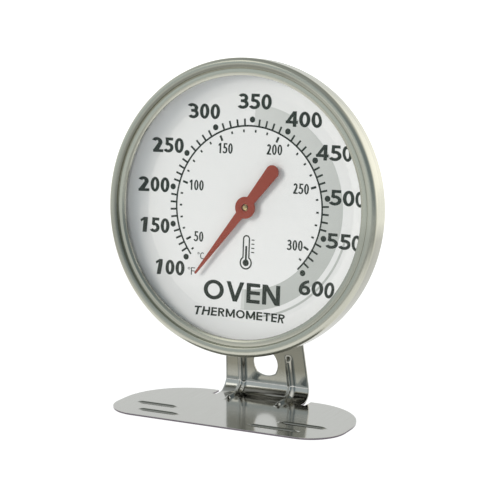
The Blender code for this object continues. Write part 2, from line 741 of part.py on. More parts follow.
def main():
    clear_scene()
    parts = new_collection("oven_thermometer")
    cutters = new_collection("cutters")
    materials = make_materials()
    head = add_empty("dial_head", parts)
    head.location = (0.0, DIAL_Y * MM, DIAL_Z * MM)
    head.rotation_euler = (math.radians(90.0 - LEAN_BACK), 0.0, 0.0)
    axis = add_empty("pointer_axis", parts, head)
    axis.rotation_euler = (0.0, 0.0, math.radians(POINTER_REST))
    make_stand(materials, parts, cutters, head)
    make_stand_rivets(materials, parts, head)
    make_case(materials, parts, cutters, head)
    make_bezel(materials, parts, head)
    make_lens(materials, parts, head)
    make_dial(materials, parts, head)
    make_seal(materials, parts, head)
    make_bridge(materials, parts, cutters, head)
    make_bridge_rivets(materials, parts, head)
    make_front_bush(materials, parts, head)
    make_rear_bush(materials, parts, head)
    make_anchor(materials, parts, cutters, head)
    make_coil(materials, parts, cutters, head)
    make_coil_rivet(materials, parts, head)
    make_staff(materials, parts, axis)
    make_collet(materials, parts, axis)
    make_pointer_hub(materials, parts, axis)
    make_pointer(materials, parts, axis)


main()
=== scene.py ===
"""Looks of the dial oven thermometer: fine pieces, materials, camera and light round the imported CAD.

Sizes are in millimetres and degrees, and are turned into metres where they are used. The dial head
is built in its own frame: X to the reader's right, Y up the dial, Z out of the dial to the reader,
with the origin on the pointer's axis at the face of the dial.
"""

import json
import math

import bmesh
import bpy
from mathutils import Matrix, Vector
from mathutils.geometry import delaunay_2d_cdt


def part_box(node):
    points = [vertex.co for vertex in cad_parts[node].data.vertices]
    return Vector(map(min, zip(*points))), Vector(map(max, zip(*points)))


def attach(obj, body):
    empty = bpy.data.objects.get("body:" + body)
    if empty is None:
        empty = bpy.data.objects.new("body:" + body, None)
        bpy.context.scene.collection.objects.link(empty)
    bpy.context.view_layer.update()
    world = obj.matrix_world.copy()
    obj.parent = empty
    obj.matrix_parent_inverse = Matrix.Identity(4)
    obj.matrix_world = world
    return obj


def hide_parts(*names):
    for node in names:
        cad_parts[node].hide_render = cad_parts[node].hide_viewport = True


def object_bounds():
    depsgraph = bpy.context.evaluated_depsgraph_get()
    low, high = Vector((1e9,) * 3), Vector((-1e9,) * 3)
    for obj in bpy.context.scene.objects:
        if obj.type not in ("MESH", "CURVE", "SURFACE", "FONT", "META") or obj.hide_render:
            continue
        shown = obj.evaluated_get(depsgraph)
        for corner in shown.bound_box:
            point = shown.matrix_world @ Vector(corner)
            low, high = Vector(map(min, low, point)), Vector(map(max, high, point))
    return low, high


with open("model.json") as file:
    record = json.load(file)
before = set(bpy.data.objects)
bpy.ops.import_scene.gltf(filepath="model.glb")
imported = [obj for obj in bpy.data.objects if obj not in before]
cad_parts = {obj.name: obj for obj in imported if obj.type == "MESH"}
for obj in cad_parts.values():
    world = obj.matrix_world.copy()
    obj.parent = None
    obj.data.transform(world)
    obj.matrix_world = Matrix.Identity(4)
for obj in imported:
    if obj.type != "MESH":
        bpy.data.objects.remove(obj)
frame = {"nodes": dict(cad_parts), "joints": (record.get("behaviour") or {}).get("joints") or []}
cad_low, cad_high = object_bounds()

MM = 0.001

# The stand, as in the CAD model
SHEET = 0.5
BASE_HALF_WIDTH = 35.4
BASE_FRONT = -17.72
BASE_BACK = 15.55
FRONT_CORNER = 10.3
REAR_CORNER = 19.1
NOTCH_DEPTH = 4.1
NOTCH_WIDTH = 1.3
BEND_RADIUS = 3.8
UPRIGHT_FOOT = 17.87
UPRIGHT_LEAN = 8.84
FOOT_HALF_WIDTH = 13.6
TAPER = 0.076
UPRIGHT_TOP = 15.0
TOP_CORNER = 4.0
KNEE_RADIUS = 8.0
RIB_PLACE = 0.59
RIB_SPREAD = 0.10
RIB_HEIGHT = 1.0
RIB_FRONT = 6.6
RIB_TOP = 12.9
RIB_RUNOUT = 1.6
HOLE_RADIUS = 3.79
HOLE_HEIGHT = 9.75
BEAD_HEIGHT = 0.42
BEAD_HALF_WIDTH = 0.6
BEAD_RAMP = 2.6
# Pressed beads in the base: centre x, centre y and length
BEADS = (
    (-23.3, -6.1, 14.6),
    (22.9, -6.8, 15.4),
    (-19.2, -12.5, 14.6),
    (16.6, -12.7, 16.2),
)
STAND_RIVETS = (-12.0, 10.0)
STAND_RIVET_RADIUS = 1.5
EDGE_ROUNDING = 0.07

# The sheet's grid: its spacing, its steps round the bends, and half the patch with the hole
ROW_STEP = 0.42
BEAD_STEP = 0.13
# Where the beads lie, from front to back
BEAD_ROWS = ((-13.6, -11.6), (-7.7, -5.2))
WING_STEP = 0.018
BEND_STEPS = 26
KNEE_STEPS = 6
HOLE_PATCH = 4.9
HOLE_PART = 0.5

# The dial head, as in the CAD model
LEAN_BACK = 4.62
RIM_FRONT = 6.95
RIM_BACK = 0.2
BEZEL_SHEET = 0.45
LIP_RADIUS = 36.4
LIP_DROP = 0.85
GROOVE_RADIUS = 38.5
ROLL_WIDTH = 1.5
ROLL_DEPTH = 1.3
FLANK_RADIUS = 2.8
FOOT_RADIUS = 0.7
LENS_RADIUS = 40.1
LENS_FRONT = 4.7
LENS_THICKNESS = 1.5
DIAL_FLAT_RADIUS = 32.3
DIAL_HOLE = 2.3
DIAL_SHEET = 0.4
CASE_RADIUS = 36.9
CASE_BACK = -9.5
CASE_SHEET = 0.5
CASE_CORNER = 3.0
CASE_FLANGE = 0.95
CASE_STEP = 0.18
CASE_STEP_RADII = (31.0, 25.0)
GAP = 0.3
BRIDGE_RIVET_X = 17.6
BRIDGE_FOOT = 0.8
BRIDGE_RIVET_RADIUS = 1.0

# The pointer
POINTER_FRONT = 1.85
POINTER_SHEET = 0.4
POINTER_REST = 232.3
TIP_REACH = 24.8
TAIL_REACH = 14.9
TIP_RADIUS = 0.32
HUB_DISC = 3.05
HUB_HOLE = 1.0
TAIL_END_RADIUS = 2.0
POINTER_ROUNDING = 0.09

# The printed scale: angles are anticlockwise from the dial's +X
INK_HEIGHT = 0.035
INK_THICKNESS = 0.02
BAND_HEIGHT = 0.023
ARC_RADIUS = 22.66
ARC_WIDTH = 0.48
DOT_RADIUS = 24.41
DOT_SIZE = 0.84
# Marks along a radius: where they start and end, and how wide they are
FAHRENHEIT_TICK = (22.66, 24.66, 0.54)
CELSIUS_TICK = (20.9, 21.65, 0.50)
LONG_CELSIUS_TICK = (20.1, 21.7, 0.62)
# The printed grey band, and beyond it a thin arc of painted shadow at the lower right: inner and outer
# radius, start and end angle, and steps
BAND = (22.95, 28.75, 87.2, -92.2, 150)
PAINTED_SHADOW_LINE = (30.25, 30.85, -14.0, -89.0, 60)
# Degrees Fahrenheit, its dot's angle, and its number's centre (x, y)
FAHRENHEIT = (
    (100, 218.7, (-24.2, -18.7)),
    (150, 194.6, (-29.5, -6.9)),
    (200, 169.4, (-29.9, 4.8)),
    (250, 144.4, (-25.7, 16.2)),
    (300, 116.6, (-14.6, 26.2)),
    (350, 88.8, (1.1, 29.4)),
    (400, 62.0, (16.2, 25.0)),
    (450, 35.1, (25.8, 16.3)),
    (500, 9.1, (30.3, 4.3)),
    (550, -16.9, (29.8, -7.5)),
    (600, -44.0, (22.2, -20.9)),
)
# Degrees Celsius and its number's centre (x, y)
CELSIUS = (
    (50, (-15.2, -9.2)),
    (100, (-16.5, 5.3)),
    (150, (-7.7, 16.1)),
    (200, (7.6, 16.4)),
    (250, (16.1, 6.1)),
    (300, (14.9, -9.5)),
)

# Drawn words: text, centre, height, width, upright and level stroke, and space between letters
UNITS = (
    ("°C", (-14.3, -14.6), 1.9, 2.2, 0.13, 0.11, 0.12),
    ("°F", (-17.2, -19.2), 2.1, 2.3, 0.13, 0.11, 0.12),
)
WORDS = (
    ("OVEN", (-1.0, -23.9), 5.6, 24.0, 0.23, 0.18, 0.13),
    ("THERMOMETER", (-1.3, -30.1), 2.35, 28.2, 0.24, 0.18, 0.16),
)
# Picture of a stem thermometer: its bulb's centre and its stem's top
SIGN_BULB = -15.5
SIGN_STEM = -8.8

# Widths of the drawn letters, as parts of a digit's
LETTER_WIDTHS = {
    "O": 1.35, "V": 1.2, "E": 0.88, "N": 1.15, "T": 1.0, "H": 1.1, "R": 1.0, "M": 1.4,
    "C": 1.0, "F": 0.8, "°": 0.5, "4": 1.1, "2": 0.95,
}

# Height of the numbers, width of the larger ones, and their upright and level strokes
FAHRENHEIT_HEIGHT = 4.25
FAHRENHEIT_WIDTH = 10.2
FAHRENHEIT_STROKES = (0.25, 0.19)
CELSIUS_HEIGHT = 2.9
CELSIUS_STROKES = (0.17, 0.14)

# Metals: two tones, two roughnesses, and how fine the clouding is
BEZEL_LOOK = ((0.575, 0.57, 0.485), (0.70, 0.695, 0.595), 0.15, 0.22)
CASE_LOOK = ((0.50, 0.50, 0.48), (0.60, 0.60, 0.57), 0.26, 0.36)
METALS = {
    "rivet_steel": ((0.48, 0.48, 0.47), (0.60, 0.60, 0.58), 0.22, 0.42, 500.0),
    "movement_steel": ((0.44, 0.44, 0.43), (0.55, 0.55, 0.53), 0.30, 0.45, 300.0),
    "brass": ((0.66, 0.49, 0.22), (0.78, 0.62, 0.33), 0.20, 0.36, 700.0),
    "bimetal": ((0.42, 0.38, 0.33), (0.56, 0.52, 0.47), 0.28, 0.40, 250.0),
    "staff_steel": ((0.52, 0.52, 0.51), (0.6, 0.6, 0.59), 0.2, 0.3, 400.0),
}
# The metal of each CAD piece that stays
NODE_METALS = {
    "bridge": "movement_steel",
    "coil_anchor": "movement_steel",
    "coil_rivet": "rivet_steel",
    "bimetal_coil": "bimetal",
    "staff": "staff_steel",
    "coil_collet": "brass",
    "front_bush": "brass",
    "rear_bush": "brass",
}
# Painted shade tones of the stand's sheet: the beads' tops, then the upright
BEAD_TOP_PAINTED_SHADE = (0.24, 0.25, 0.22)
UPRIGHT_PAINTED_SHADE = (0.40, 0.385, 0.335)
# Darker tone below the base's top face, on its cut edge and underside
EDGE_AND_UNDERSIDE_TONE = (0.15, 0.13, 0.15)

# Camera: where it stands round the dial, and what it aims at below the dial's centre
CAMERA_TURN = 26.76
CAMERA_RISE = 9.7
CAMERA_DISTANCE = 419.2
CAMERA_AIM_RIGHT = 0.71
CAMERA_AIM_BELOW = 11.96
LENS_LENGTH = 108.0
SENSOR_WIDTH = 36.0

# Light: the studio's colours low before the object, low behind it and overhead; a round glow
# above and to the left that the metal mirrors; and the soft key light on the dial
FRONT_LEFT_SKY = (0.555, 0.615, 0.64)
FRONT_RIGHT_SKY = (0.21, 0.255, 0.28)
BACK_LEFT_SKY = (0.80, 0.82, 0.82)
BACK_RIGHT_SKY = (1.40, 1.38, 1.32)
HIGH_SKY = (0.33, 0.35, 0.35)
GLOW_WAY = (-0.443, -0.66, 0.61)
GLOW_SKY = (1.5, 1.5, 1.42)
KEY_WAY = (-0.52, -0.785, 0.34)
KEY_DISTANCE = 1.2
KEY_SIZE = 0.44
KEY_POWER = 7.2
KEY_COLOR = (1.0, 0.955, 0.90)

# The floor: its size, its own light, and the tones behind and around its lit part
FLOOR_RADIUS = 40.0
FLOOR_GLOW = 0.98
FLOOR_FAR = (1.35, 1.35, 1.33)
FLOOR_LEFT = (0.40, 0.415, 0.41)
FLOOR_RIGHT = (0.23, 0.245, 0.24)
FLOOR_FRONT = (0.66, 0.68, 0.68)
FLOOR_BACK = (1.0, 1.0, 0.97)

ROUND_STEPS = 240
SMALL_ROUND_STEPS = 64
SHARP_ANGLE = 32.0

joint = frame["joints"][0]
DIAL_CENTRE = Vector(joint["pos_m"])
DIAL_OUT = -Vector(joint["axis"]).normalized()
DIAL_RIGHT = Vector((1.0, 0.0, 0.0))
DIAL_UP = DIAL_OUT.cross(DIAL_RIGHT)
HEAD = Matrix.Translation(DIAL_CENTRE) @ Matrix((DIAL_RIGHT, DIAL_UP, DIAL_OUT)).transposed().to_4x4()
DIAL_Y = DIAL_CENTRE.y / MM
DIAL_Z = DIAL_CENTRE.z / MM
RIM_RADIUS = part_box("bezel_ring")[1].x / MM


# ---- node helpers

def new_material(name):
    """A new material, its shader, and each point's place on its object."""
    material = bpy.data.materials.new(name)
    material.use_nodes = True
    tree = material.node_tree
    return material, tree.nodes["Principled BSDF"], add_node(tree, "TexCoord", {}).outputs["Object"]


def feed(node, values):
    """Gives a node's inputs, by name or number, plain values or the outputs of other nodes."""
    for key, value in values.items():
        socket = node.inputs[key]
        if isinstance(value, bpy.types.NodeSocket):
            node.id_data.links.new(value, socket)
        elif socket.type == "RGBA":
            socket.default_value = (*value, 1.0)
        else:
            socket.default_value = value


def add_node(tree, kind, values, **settings):
    """Adds a node with its settings and input values."""
    node = tree.nodes.new("ShaderNode" + kind)
    for name, value in settings.items():
        setattr(node, name, value)
    feed(node, values)
    return node


def output_of(kind, output, values, **settings):
    """The output of a new node, in the tree its first input comes from."""
    tree = next(iter(values.values())).id_data
    return add_node(tree, kind, values, **settings).outputs[output]


def math_node(operation, *values):
    return output_of("Math", "Value", dict(enumerate(values)), operation=operation)


def plus(first, second):
    return math_node("ADD", first, second)


def times(first, second):
    return math_node("MULTIPLY", first, second)


def split(vector):
    return add_node(vector.id_data, "SeparateXYZ", {"Vector": vector}).outputs[:]


def join(x, y, z):
    return output_of("CombineXYZ", "Vector", {"X": x, "Y": y, "Z": z})


def scaled(vector, scale):
    return output_of("VectorMath", "Vector", {0: vector, 1: scale}, operation="MULTIPLY")


def noise(vector, scale, detail, roughness=0.5):
    values = {"Vector": vector, "Scale": scale, "Detail": detail, "Roughness": roughness}
    return output_of("TexNoise", "Fac", values)


def ranged(value, low, high, from_low=0.0, from_high=1.0):
    """Low to high as the value goes from from_low to from_high."""
    values = {"Value": value, "From Min": from_low, "From Max": from_high, "To Min": low, "To Max": high}
    return output_of("MapRange", "Result", values)


def ramp(value, zero_at, one_at):
    """0 at one value and 1 at the other, whichever is higher."""
    return ranged(value, 0.0, 1.0, zero_at, one_at)


def mixed(factor, first, second):
    """A colour between two, by a factor from 0 to 1."""
    return output_of("Mix", 2, {"Factor": factor, 6: first, 7: second}, data_type="RGBA")


def bump(height, strength, distance):
    values = {"Height": height, "Strength": strength, "Distance": distance}
    return output_of("Bump", "Normal", values)


# ---- materials

def brushed_sheet():
    """Bright rolled stainless: grain along the sheet, faint smudges, a soft mirror.

    Painted shade darkens the tops of the beads and the upright. The base is also darker below its top
    face, on its cut edge and underside.
    """
    material, shader, place = new_material("stand_sheet_steel")
    _, depth, height = split(place)
    grain = noise(scaled(place, (5200.0, 70.0, 90.0)), 1.0, 4.0, 0.6)
    smudge = noise(place, 90.0, 4.0, 0.55)
    tint = mixed(smudge, (0.575, 0.575, 0.545), (0.615, 0.61, 0.58))
    tone = mixed(ramp(grain, 0.3, 0.7), (0.545, 0.535, 0.50), tint)
    # Painted shade: the tops of the beads on the base take a darker tone
    raised = ramp(height, 0.60 * MM, 0.74 * MM)
    bead_top_shade = times(raised, ramp(depth, 4.0 * MM, 3.0 * MM))
    # Painted shade: the upright takes a darker tone than the base
    upright = ramp(height, 6.0 * MM, 9.0 * MM)
    # Darker below the base's top face: its cut edge and underside
    face = ramp(height, 0.40 * MM, 0.46 * MM)
    tone = mixed(bead_top_shade, tone, BEAD_TOP_PAINTED_SHADE)
    tone = mixed(upright, tone, UPRIGHT_PAINTED_SHADE)
    feed(shader, {
        "Base Color": mixed(face, EDGE_AND_UNDERSIDE_TONE, tone),
        "Roughness": plus(ranged(smudge, 0.05, 0.12), ranged(grain, 0.0, 0.05)),
        "Metallic": 1.0,
        "Normal": bump(grain, 0.10, 0.00001),
    })
    return material


def spun_steel(name, low, high, rough_low, rough_high):
    """Satin steel with its grain running round the dial's axis.

    Painted shade darkens the lower half of the rim's wall and of the case, and the rim's inner side at
    the upper left.
    """
    material, shader, place = new_material(name)
    x, y, z = split(place)
    radius = math_node("SQRT", plus(times(x, x), times(y, y)))
    cosine = math_node("DIVIDE", x, radius)
    sine = math_node("DIVIDE", y, radius)
    depth = plus(times(radius, 5200.0), times(z, 3700.0))
    fine = noise(join(cosine, sine, depth), 1.0, 4.0, 0.65)
    smudge = noise(place, 70.0, 3.0)
    tone = mixed(ramp(fine, 0.3, 0.7), low, high)
    # Painted shade: the lower half, below the rim's roll, is mixed towards a darker tone
    wall = ranged(z, 1.0, 0.35, 5.2 * MM, 6.0 * MM)
    lower = ramp(y, -1.0 * MM, -6.0 * MM)
    tone = mixed(times(wall, lower), tone, tuple(part * 0.54 for part in high))
    # Painted shade on the rim's inner flank by the groove, on the upper left side only
    inner = ramp(radius, 38.4 * MM, 38.6 * MM)
    flank = times(inner, ramp(radius, 40.3 * MM, 38.8 * MM))
    upper_left = ramp(math_node("SUBTRACT", y, x), 5.0 * MM, 25.0 * MM)
    tone = mixed(times(flank, upper_left), tone, tuple(part * 0.66 for part in low))
    tangent = add_node(shader.id_data, "Tangent", {}, direction_type="RADIAL", axis="Z")
    rough = ranged(smudge, rough_low, rough_high)
    feed(shader, {
        "Base Color": tone,
        "Roughness": plus(rough, ranged(fine, 0.0, 0.07)),
        "Metallic": 1.0,
        "Anisotropic": 0.45,
        "Tangent": tangent.outputs["Tangent"],
        "Normal": bump(fine, 0.12, 0.00002),
    })
    return material


def plain_metal(name, low, high, rough_low, rough_high, scale):
    """Metal with cloudy tone and roughness, for rivets and the movement."""
    material, shader, place = new_material(name)
    cloud = noise(place, scale, 4.0, 0.6)
    fine = noise(place, scale * 9.0, 3.0, 0.6)
    feed(shader, {
        "Base Color": mixed(cloud, low, high),
        "Roughness": ranged(fine, rough_low, rough_high, 0.3, 0.7),
        "Metallic": 1.0,
        "Normal": bump(fine, 0.10, 0.00002),
    })
    return material


def white_enamel():
    """The dial's paint: white, low gloss, with a fine spray texture."""
    material, shader, place = new_material("dial_white")
    spray = noise(place, 2600.0, 2.0)
    cloud = noise(place, 45.0, 2.0)
    feed(shader, {
        "Base Color": mixed(cloud, (0.845, 0.85, 0.845), (0.875, 0.875, 0.87)),
        "Roughness": ranged(spray, 0.36, 0.46),
        "Normal": bump(spray, 0.08, 0.00002),
    })
    return material


def black_ink():
    """Screen-printed ink: slightly uneven tone over the dial's paint."""
    material, shader, place = new_material("scale_ink")
    grain = noise(place, 1900.0, 3.0, 0.6)
    feed(shader, {
        "Base Color": mixed(grain, (0.012, 0.019, 0.013), (0.024, 0.034, 0.025)),
        "Roughness": ranged(grain, 0.45, 0.57),
        "Specular IOR Level": 0.15,
    })
    return material


def band_ink():
    """Grey band of the scale, faint where it starts at the top and fuller clockwise from there; the
    painted shadow arc beyond the band takes this grey too.
    """
    material, shader, place = new_material("band_grey")
    x, y, _ = split(place)
    turn = ramp(math_node("ARCTAN2", x, y), 0.0, math.radians(125.0))
    grain = noise(place, 1500.0, 2.0)
    tone = mixed(turn, (0.66, 0.675, 0.655), (0.515, 0.535, 0.51))
    feed(shader, {
        "Base Color": mixed(ranged(grain, 0.0, 0.12), tone, (0.70, 0.71, 0.69)),
        "Roughness": ranged(grain, 0.38, 0.5),
    })
    return material


def red_paint():
    """The pointer's matte brick-red paint."""
    material, shader, place = new_material("pointer_red")
    speck = noise(place, 2200.0, 3.0, 0.6)
    cloud = noise(place, 150.0, 2.0)
    tone = mixed(cloud, (0.26, 0.038, 0.018), (0.295, 0.046, 0.024))
    feed(shader, {
        "Base Color": mixed(ranged(speck, 0.0, 0.35), tone, (0.335, 0.060, 0.033)),
        "Roughness": ranged(speck, 0.42, 0.56),
        "Specular IOR Level": 0.25,
        "Normal": bump(speck, 0.12, 0.00003),
    })
    return material


def clear_glass():
    """Thin clear glass: see-through, with a mirror that grows towards grazing angles."""
    material, shader, place = new_material("clear_glass")
    facing = add_node(shader.id_data, "LayerWeight", {"Blend": 0.5}).outputs["Facing"]
    mirror = times(math_node("POWER", facing, 5.0), 0.9)
    haze = noise(place, 60.0, 2.0)
    feed(shader, {
        "Base Color": (0.97, 0.99, 0.985),
        "Alpha": plus(mirror, ranged(haze, 0.020, 0.028)),
        "Metallic": 1.0,
        "Roughness": 0.03,
    })
    return material


def pressed_fibre():
    material, shader, place = new_material("seal_brown_fibre")
    fibre = noise(scaled(place, (900.0, 900.0, 2600.0)), 1.0, 5.0, 0.7)
    feed(shader, {
        "Base Color": mixed(fibre, (0.20, 0.17, 0.14), (0.40, 0.36, 0.30)),
        "Roughness": 0.9,
        "Normal": bump(fibre, 0.5, 0.00008),
    })
    return material


def camera_back():
    """Direction from what the camera aims at to the camera."""
    turn = math.radians(CAMERA_TURN)
    rise = math.radians(CAMERA_RISE)
    return Vector((
        math.sin(turn) * math.cos(rise), -math.cos(turn) * math.cos(rise), math.sin(rise)))


def camera_place():
    aim = DIAL_CENTRE + Vector((CAMERA_AIM_RIGHT, 0.0, -CAMERA_AIM_BELOW)) * MM
    return aim + camera_back() * CAMERA_DISTANCE * MM


def side_light(x, y, sign):
    """1 on the lit part of the floor and 0 past its left (-1) or right (1) edge.

    The lit part widens away from the camera, so that it fills the picture.
    """
    place = camera_place()
    half_view = math.degrees(math.atan(SENSOR_WIDTH / 2 / LENS_LENGTH))
    slope = math.tan(math.radians(CAMERA_TURN - sign * half_view))
    edge = place.x + place.y * slope
    fade = 0.20 if sign < 0 else 0.12
    return ramp(plus(x, times(y, slope)), edge + sign * fade, edge)


def pale_floor():
    """White table, lit from within where the object stands and dimmer around it."""
    material, shader, place = new_material("studio_floor")
    x, y, _ = split(place)
    cloud = noise(place, 0.6, 2.0)
    pale = mixed(cloud, (0.99, 1.0, 1.0), (1.0, 1.0, 1.0))
    bright = mixed(ramp(y, 0.08, 0.9), pale, FLOOR_FAR)
    sides = times(side_light(x, y, -1), side_light(x, y, 1))
    lit = times(sides, ramp(y, -0.21, -0.105))
    near = mixed(ramp(x, -0.15, 0.03), FLOOR_LEFT, FLOOR_RIGHT)
    front = mixed(ramp(y, -0.9, -0.35), FLOOR_FRONT, near)
    unlit = mixed(ramp(y, -0.04, 0.16), front, FLOOR_BACK)
    feed(shader, {
        "Emission Color": mixed(lit, unlit, bright),
        "Emission Strength": FLOOR_GLOW,
        "Base Color": (0.12, 0.12, 0.12),
        "Roughness": 0.9,
    })
    return material


# ---- mesh helpers

def arc(center, radius, start, end, count):
    angles = [math.radians(start + (end - start) * step / count) for step in range(count + 1)]
    return [(center[0] + radius * math.cos(angle), center[1] + radius * math.sin(angle))
            for angle in angles]


def spread(low, high, step):
    """Even places from low to high, both included, about step apart."""
    count = max(1, round((high - low) / step))
    return [low + (high - low) * index / count for index in range(count + 1)]


def smooth_step(value):
    value = min(max(value, 0.0), 1.0)
    return value * value * (3.0 - 2.0 * value)


def filleted(corners, steps=5):
    """A path through (x, y, fillet radius) corners, each rounded by an arc of its own radius."""
    path = []
    for index, (x, y, radius) in enumerate(corners):
        here = Vector((x, y))
        if radius == 0.0 or index in (0, len(corners) - 1):
            path.append((x, y))
            continue
        before = (Vector(corners[index - 1][:2]) - here).normalized()
        after = (Vector(corners[index + 1][:2]) - here).normalized()
        half = before.angle(after) / 2
        center = here + (before + after).normalized() * (radius / math.sin(half))
        reach = radius / math.tan(half)
        start = here + before * reach - center
        end = here + after * reach - center
        sweep = start.angle_signed(end)
        for step in range(steps + 1):
            turned_by = Matrix.Rotation(-sweep * step / steps, 2)
            path.append(tuple(center + turned_by @ start))
    return path


def add_object(name, data):
    piece = bpy.data.objects.new(name, data)
    bpy.context.scene.collection.objects.link(piece)
    return piece


def object_from(name, bm, material, matrix=Matrix.Identity(4)):
    """A smooth-shaded object from a bmesh in metres, sharp at its corners."""
    bm.normal_update()
    mesh = bpy.data.meshes.new(name)
    bm.to_mesh(mesh)
    bm.free()
    mesh.materials.append(material)
    piece = add_object(name, mesh)
    piece.matrix_world = matrix
    shade(piece)
    return piece


def shade(piece):
    piece.data.shade_smooth()
    piece.data.set_sharp_from_angle(angle=math.radians(SHARP_ANGLE))


def final_mesh(piece):
    """The mesh that a piece's modifiers, or a drawing's curves, come to."""
    bpy.context.view_layer.update()
    graph = bpy.context.evaluated_depsgraph_get()
    return bpy.data.meshes.new_from_object(piece.evaluated_get(graph))


def add_modifier(piece, kind, **settings):
    modifier = piece.modifiers.new(kind.lower(), kind)
    for name, value in settings.items():
        setattr(modifier, name, value)


def apply_modifiers(piece):
    mesh = final_mesh(piece)
    piece.modifiers.clear()
    piece.data = mesh
    shade(piece)


def turned(name, profile, material, shell=0.0, steps=ROUND_STEPS, matrix=HEAD):
    """A profile of (radius, height) turned about Z. Its outer side runs downwards."""
    bm = bmesh.new()
    verts = [bm.verts.new((radius * MM, 0.0, height * MM)) for radius, height in profile]
    for ends in zip(verts, verts[1:]):
        bm.edges.new(ends)
    piece = object_from(name, bm, material, matrix)
    add_modifier(piece, "SCREW", axis="Z", steps=steps, render_steps=steps,
                 use_merge_vertices=True, merge_threshold=0.000001)
    if shell:
        add_modifier(piece, "SOLIDIFY", thickness=shell * MM, offset=-1.0, use_even_offset=True)
    apply_modifiers(piece)
    return piece


def keep(piece, slot, *nodes, body="housing"):
    """Puts a finished piece on its body, in place of its CAD nodes; the slot argument is not used."""
    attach(piece, body)
    if nodes:
        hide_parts(*nodes)


# ---- bezel, case and dial

def make_bezel(material):
    """Rolled bezel: lip over the glass, dark groove, rolled rim, straight wall, crimped back."""
    lip = RIM_FRONT - LIP_DROP
    crest = RIM_RADIUS - ROLL_WIDTH
    front = filleted([
        (LIP_RADIUS, RIM_FRONT - 1.75, 0.0),
        (LIP_RADIUS + 0.02, RIM_FRONT - 1.15, 0.2),
        (LIP_RADIUS + 0.75, lip + 0.02, 0.5),
        (GROOVE_RADIUS - 0.26, lip, 0.2),
        (GROOVE_RADIUS - 0.04, RIM_FRONT - 1.12, 0.1),
        (GROOVE_RADIUS + 0.06, RIM_FRONT - 0.8, 0.0),
    ])
    flank = arc((crest, RIM_FRONT - FLANK_RADIUS), FLANK_RADIUS, 114.0, 90.0, 16)
    roll = [(crest + ROLL_WIDTH * x, RIM_FRONT - ROLL_DEPTH + ROLL_DEPTH * y)
            for x, y in arc((0.0, 0.0), 1.0, 85.0, 0.0, 16)]
    foot = arc((RIM_RADIUS - FOOT_RADIUS, RIM_BACK + FOOT_RADIUS), FOOT_RADIUS, 0.0, -90.0, 8)
    back = [(CASE_RADIUS + 1.2, RIM_BACK), (CASE_RADIUS + 0.8, RIM_BACK + 0.05)]
    piece = turned("bezel", front + flank + roll + foot + back, material, BEZEL_SHEET)
    keep(piece, "bezel_steel", "bezel_ring")


def make_case(material):
    """Drawn cup with its flange and a shallow pressed step round its back."""
    outer, inner = CASE_STEP_RADII
    step = CASE_BACK + CASE_STEP
    profile = filleted([
        (LENS_RADIUS, CASE_FLANGE, 0.0),
        (CASE_RADIUS, CASE_FLANGE, 0.5),
        (CASE_RADIUS, CASE_BACK, CASE_CORNER),
        (outer, CASE_BACK, 0.6),
        (outer - 0.6, step, 0.6),
        (inner + 0.6, step, 0.6),
        (inner, CASE_BACK, 0.6),
        (0.0, CASE_BACK, 0.0),
    ], 8)
    piece = turned("case_shell", profile, material, CASE_SHEET, steps=192)
    keep(piece, "case_steel", "case_cup")


def dial_profile():
    """Face of the dial: its flat middle, then the dished flange up to the glass."""
    edge = LENS_FRONT - LENS_THICKNESS - GAP
    return filleted([
        (DIAL_HOLE, 0.0, 0.0),
        (DIAL_FLAT_RADIUS - 0.3, 0.0, 1.6),
        (LENS_RADIUS - 2.9, edge - 0.15, 0.9),
        (LENS_RADIUS - 2.0, edge, 0.5),
        (LENS_RADIUS, edge, 0.0),
    ], 6)


DIAL_PATH = dial_profile()
# Radii where ink on the dial bends with it
DIAL_RINGS = [radius for radius, _ in DIAL_PATH[1:-1]] + [33.2, 34.2, 35.2, 36.2]


def dial_height(radius):
    """Height of the dial's face at a radius."""
    for (low, low_z), (high, high_z) in zip(DIAL_PATH, DIAL_PATH[1:]):
        if low <= radius <= high:
            return low_z + (high_z - low_z) * (radius - low) / max(high - low, 1e-9)
    return 0.0


def make_dial(material):
    piece = turned("dial_face", DIAL_PATH, material, DIAL_SHEET)
    keep(piece, "dial_enamel", "dial_plate")


# ---- the printed scale

def lay_ink(name, bm, material, height=INK_HEIGHT):
    """Lays flat shapes, in metres in the dial's plane, on the dial's face as a thin layer."""
    piece = object_from(name, bm, material, HEAD)
    for vert in piece.data.vertices:
        radius = math.hypot(vert.co.x, vert.co.y) / MM
        vert.co.z = (dial_height(radius) + height) * MM
    add_modifier(piece, "SOLIDIFY", thickness=INK_THICKNESS * MM, offset=0.0)
    apply_modifiers(piece)
    keep(piece, "dial_enamel")


def post(x0, y0, x1, y1, half):
    """A letter's upright or slanted stroke, cut level at both ends."""
    return [(x0 - half, y0), (x0 + half, y0), (x1 + half, y1), (x1 - half, y1)]


def beam(x0, x1, y, half):
    """A letter's level stroke."""
    return [(x0, y - half), (x1, y - half), (x1, y + half), (x0, y + half)]


def bow(center, radii, start, end, a, b):
    """A letter's round stroke, as quads between its outer and its inner ellipse."""
    count = max(6, round(abs(end - start) / 10))
    quads = []
    for index in range(count):
        pair = []
        for step in (index, index + 1):
            angle = math.radians(start + (end - start) * step / count)
            for inset_x, inset_y in ((0.0, 0.0), (2 * a, 2 * b)):
                pair.append((center[0] + (radii[0] - inset_x) * math.cos(angle),
                             center[1] + (radii[1] - inset_y) * math.sin(angle)))
        quads.append([pair[0], pair[2], pair[3], pair[1]])
    return quads


